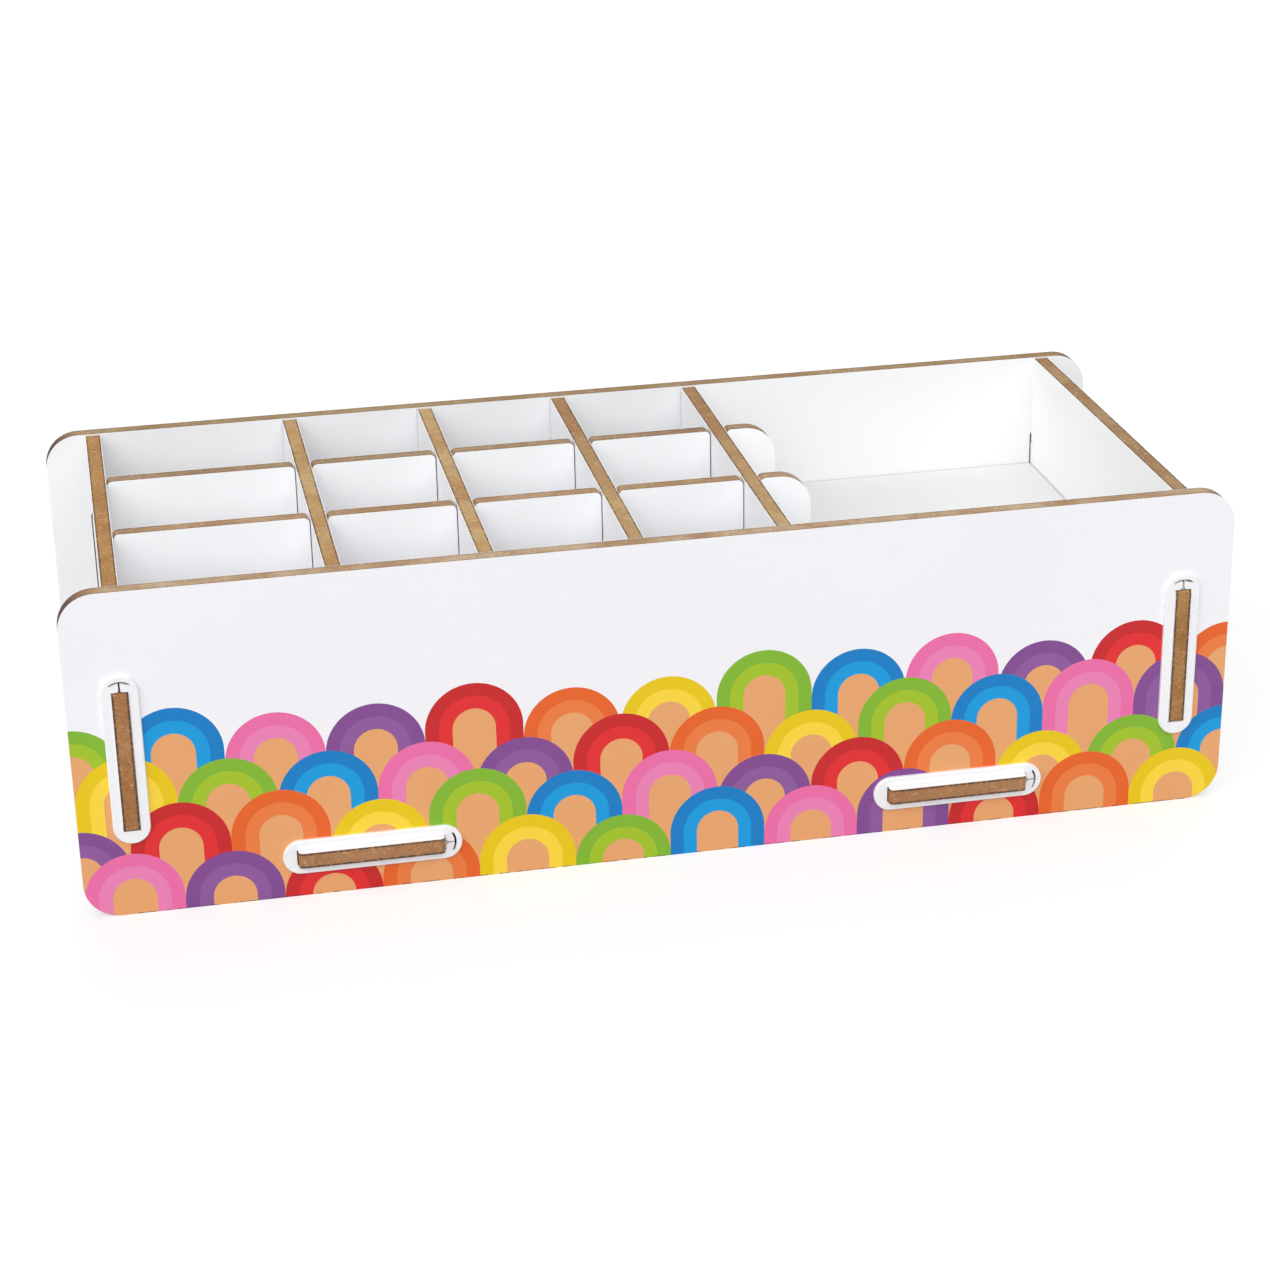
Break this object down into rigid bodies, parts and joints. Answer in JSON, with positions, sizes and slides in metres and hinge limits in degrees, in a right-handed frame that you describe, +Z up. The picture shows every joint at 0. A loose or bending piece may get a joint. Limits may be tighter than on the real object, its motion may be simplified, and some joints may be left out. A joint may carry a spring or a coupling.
{
  "type": "desk pencil organizer box",
  "caption": "Long open box of white-faced boards with a grid of upright pencil cells and a shallow raised tray, held together by snap connectors over board tabs.",
  "frame": {"origin": "on the table, under the middle of the box", "axes": "+X right along the front panel, +Y from the front panel to the back panel, +Z up"},
  "size_m": [0.36, 0.1524, 0.105],
  "materials": {
    "board": "satin white facing on both sides, bare brown fibre on the cut edges",
    "printed_board": "satin white facing with a printed colour band in front, bare brown cut edges",
    "connector": "white, lightly satin moulded plastic"
  },
  "bodies": {
    "box": {"front_panel": "printed_board", "back_panel": "board", "left_end_panel": "board", "right_end_panel": "board", "floor_panel": "board", "front_divider": "board", "rear_divider": "board", "front_left_end_connector": "connector", "front_left_floor_connector": "connector", "front_right_end_connector": "connector", "front_right_floor_connector": "connector", "back_left_end_connector": "connector", "back_left_floor_connector": "connector", "back_right_end_connector": "connector", "back_right_floor_connector": "connector"},
    "partition_1": {"partition_1": "board"},
    "partition_2": {"partition_2": "board"},
    "partition_3": {"partition_3": "board"},
    "partition_4": {"partition_4": "board"},
    "tray_shelf": {"tray_shelf": "board"}
  },
  "joints": [
    {"name": "partition_1_lift", "type": "slide", "parent": "box", "child": "partition_1", "axis": [0, 0, 1], "range_m": [0, 0.09]},
    {"name": "partition_2_lift", "type": "slide", "parent": "box", "child": "partition_2", "axis": [0, 0, 1], "range_m": [0, 0.09]},
    {"name": "partition_3_lift", "type": "slide", "parent": "box", "child": "partition_3", "axis": [0, 0, 1], "range_m": [0, 0.09]},
    {"name": "partition_4_lift", "type": "slide", "parent": "box", "child": "partition_4", "axis": [0, 0, 1], "range_m": [0, 0.09]},
    {"name": "tray_shelf_lift", "type": "slide", "parent": "box", "child": "tray_shelf", "axis": [0, 0, 1], "range_m": [0, 0.045]}
  ]
}
